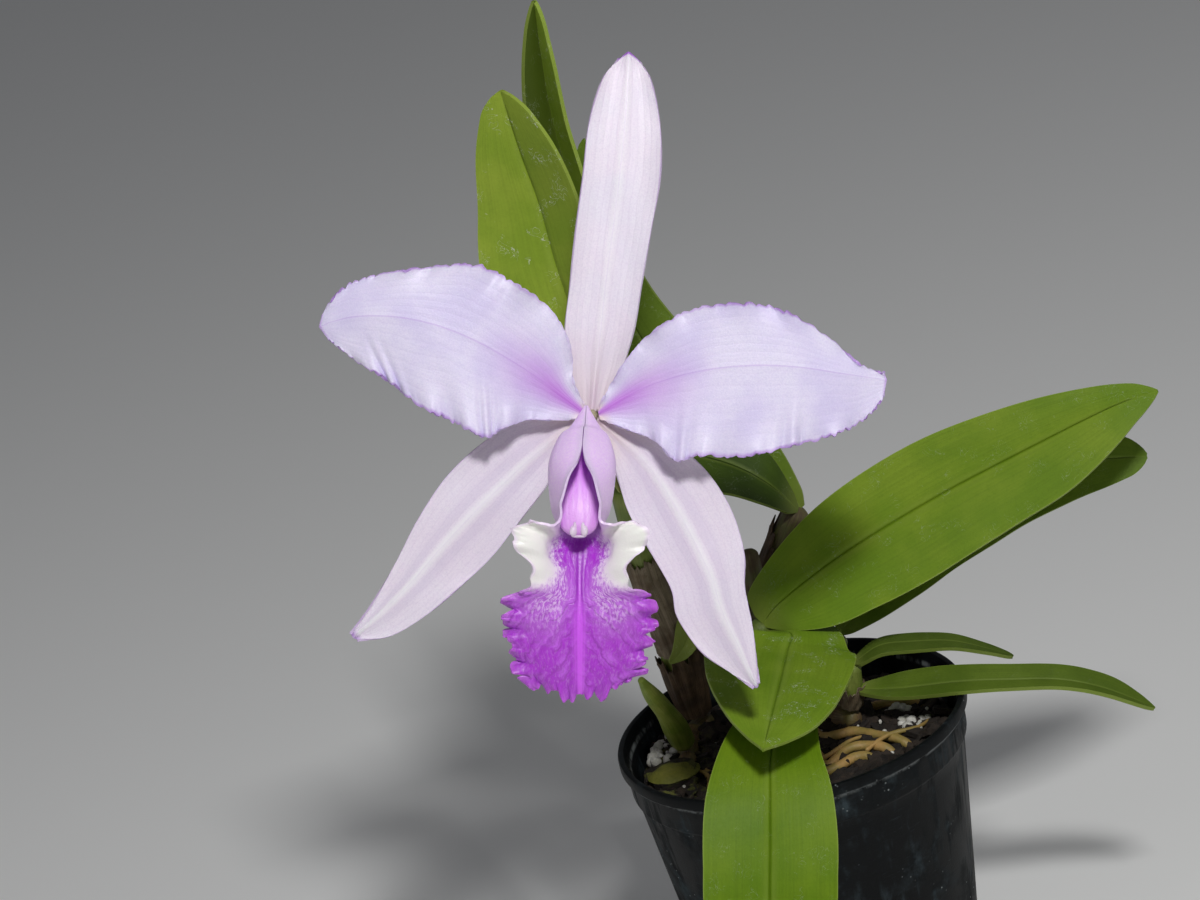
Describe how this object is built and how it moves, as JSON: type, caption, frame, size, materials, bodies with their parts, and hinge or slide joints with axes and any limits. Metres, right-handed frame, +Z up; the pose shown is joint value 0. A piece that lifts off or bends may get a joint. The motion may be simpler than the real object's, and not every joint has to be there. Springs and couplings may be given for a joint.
{
  "type": "potted orchid",
  "caption": "Potted orchid in a round black nursery pot of bark mix, with strap leaves and one lilac flower with a magenta frilled lip facing the front.",
  "frame": {"origin": "centre of the pot's underside, on the ground plane", "axes": "+Z up along the pot's axis; the flower faces -Y; +X is to the right seen from the front"},
  "size_m": [0.1803, 0.1158, 0.2438],
  "materials": {
    "black_plastic": "satin",
    "bark": "matte",
    "root": "matte",
    "stem_green": "satin",
    "papery_sheath": "matte",
    "leaf_green": "satin",
    "shoot_green": "satin",
    "lilac": "matte",
    "magenta": "matte",
    "violet": "satin",
    "white_cap": "satin"
  },
  "bodies": {
    "root": {"anther_cap": "white_cap", "column": "violet", "dorsal_sepal": "lilac", "flower_sheath": "stem_green", "flower_stalk": "stem_green", "leaf_back_left": "leaf_green", "leaf_back_up": "leaf_green", "leaf_front_hanging": "leaf_green", "leaf_front_short": "leaf_green", "leaf_right_lower": "leaf_green", "leaf_right_upper": "leaf_green", "leaf_up_broad": "leaf_green", "leaf_up_folded": "leaf_green", "leaf_young_lower": "leaf_green", "leaf_young_upper": "leaf_green", "left_petal": "lilac", "left_sepal": "lilac", "lip": "magenta", "new_shoot": "shoot_green", "pot": "black_plastic", "potting_mix": "bark", "pseudobulb_back": "papery_sheath", "pseudobulb_flowering": "papery_sheath", "pseudobulb_old": "stem_green", "pseudobulb_right_lower": "stem_green", "pseudobulb_right_upper": "stem_green", "pseudobulb_short": "stem_green", "rhizome": "root", "right_petal": "lilac", "right_sepal": "lilac", "small_bract": "stem_green"}
  },
  "joints": []
}
